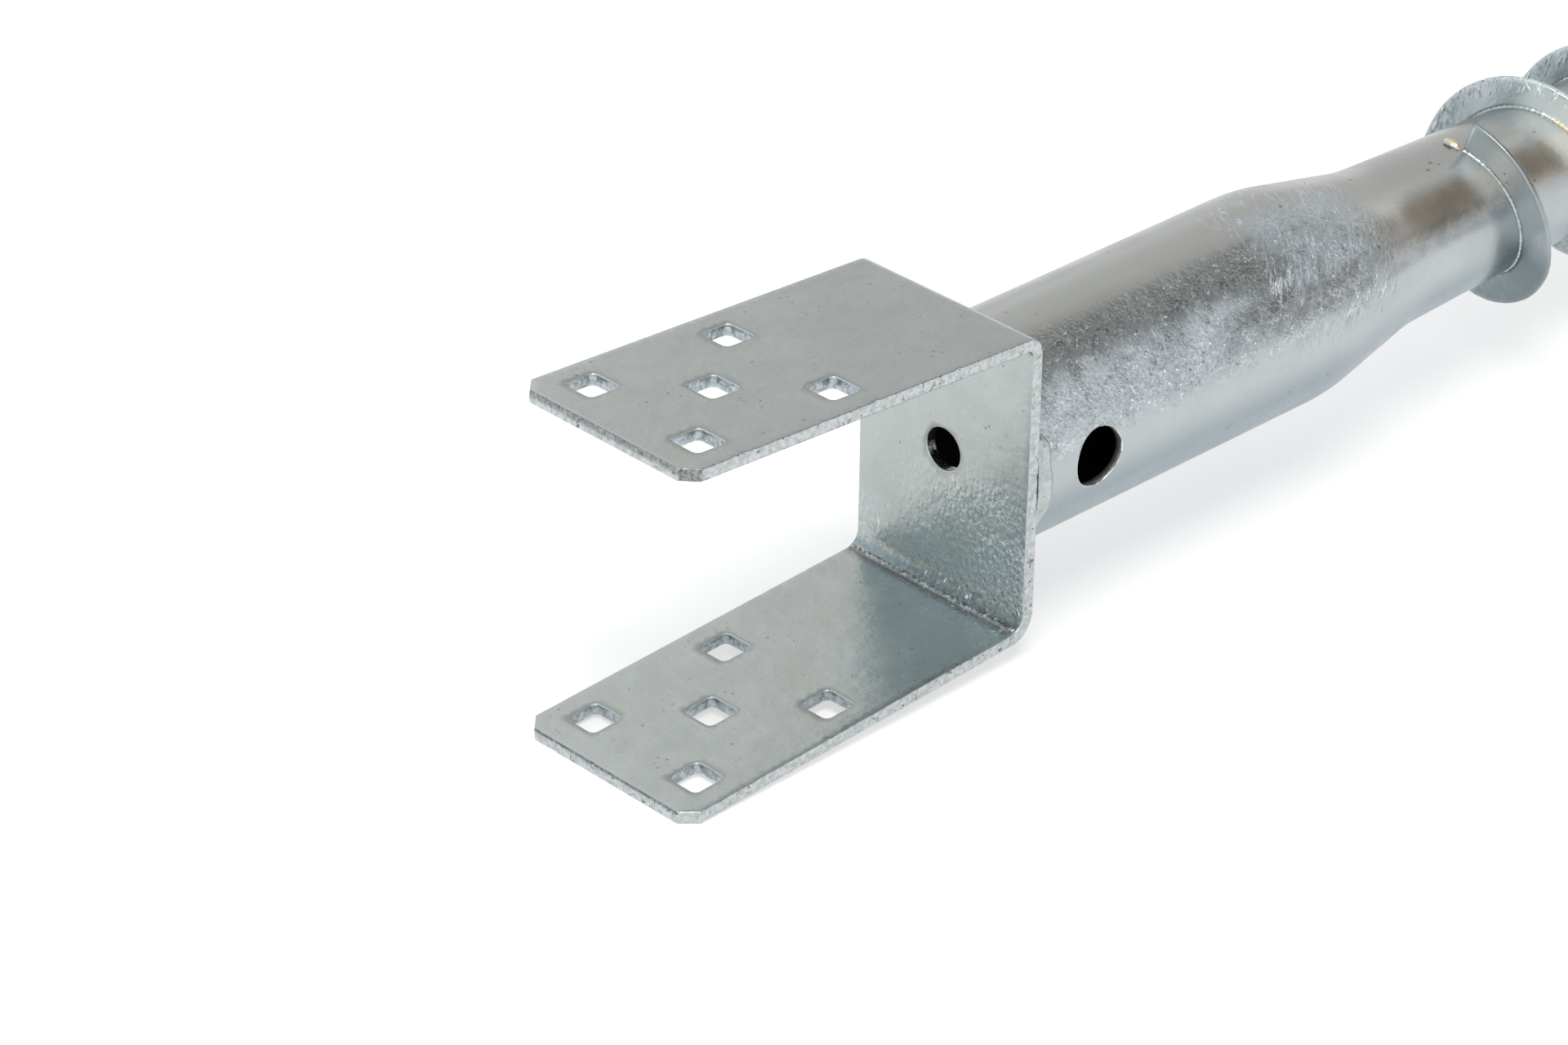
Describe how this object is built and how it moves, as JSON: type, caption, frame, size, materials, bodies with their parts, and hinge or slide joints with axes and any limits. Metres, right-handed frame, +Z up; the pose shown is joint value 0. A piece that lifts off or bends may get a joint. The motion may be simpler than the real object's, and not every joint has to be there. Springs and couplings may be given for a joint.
{
  "type": "helical pile with a post bracket",
  "caption": "Galvanised screw-in foundation pile: a swaged, pointed tube with a welded helical flight and a folded U-shaped bracket with square bolt holes for a timber post.",
  "frame": {"origin": "centre of the round hole in the bracket's web, on the face where the end of the post sits", "axes": "+X along the pile's axis from the bracket to the driving point, +Z up square to the bracket's flanges as it lies, +Y across the bracket"},
  "size_m": [0.8648, 0.0706, 0.1126],
  "materials": {
    "galvanised_sheet": "matt hot-dip zinc with fine dark specks and cloudy mottling",
    "galvanised_tube": "satin hot-dip zinc, frosty and streaked round the swaged step",
    "galvanised_flight": "pebbled hot-dip zinc with a bright rim",
    "galvanised_weld": "rippled weld bead under zinc"
  },
  "bodies": {
    "root": {"u_bracket": "galvanised_sheet", "screw_shaft": "galvanised_tube", "head_weld_near": "galvanised_weld", "head_weld_far": "galvanised_weld"}
  },
  "joints": []
}
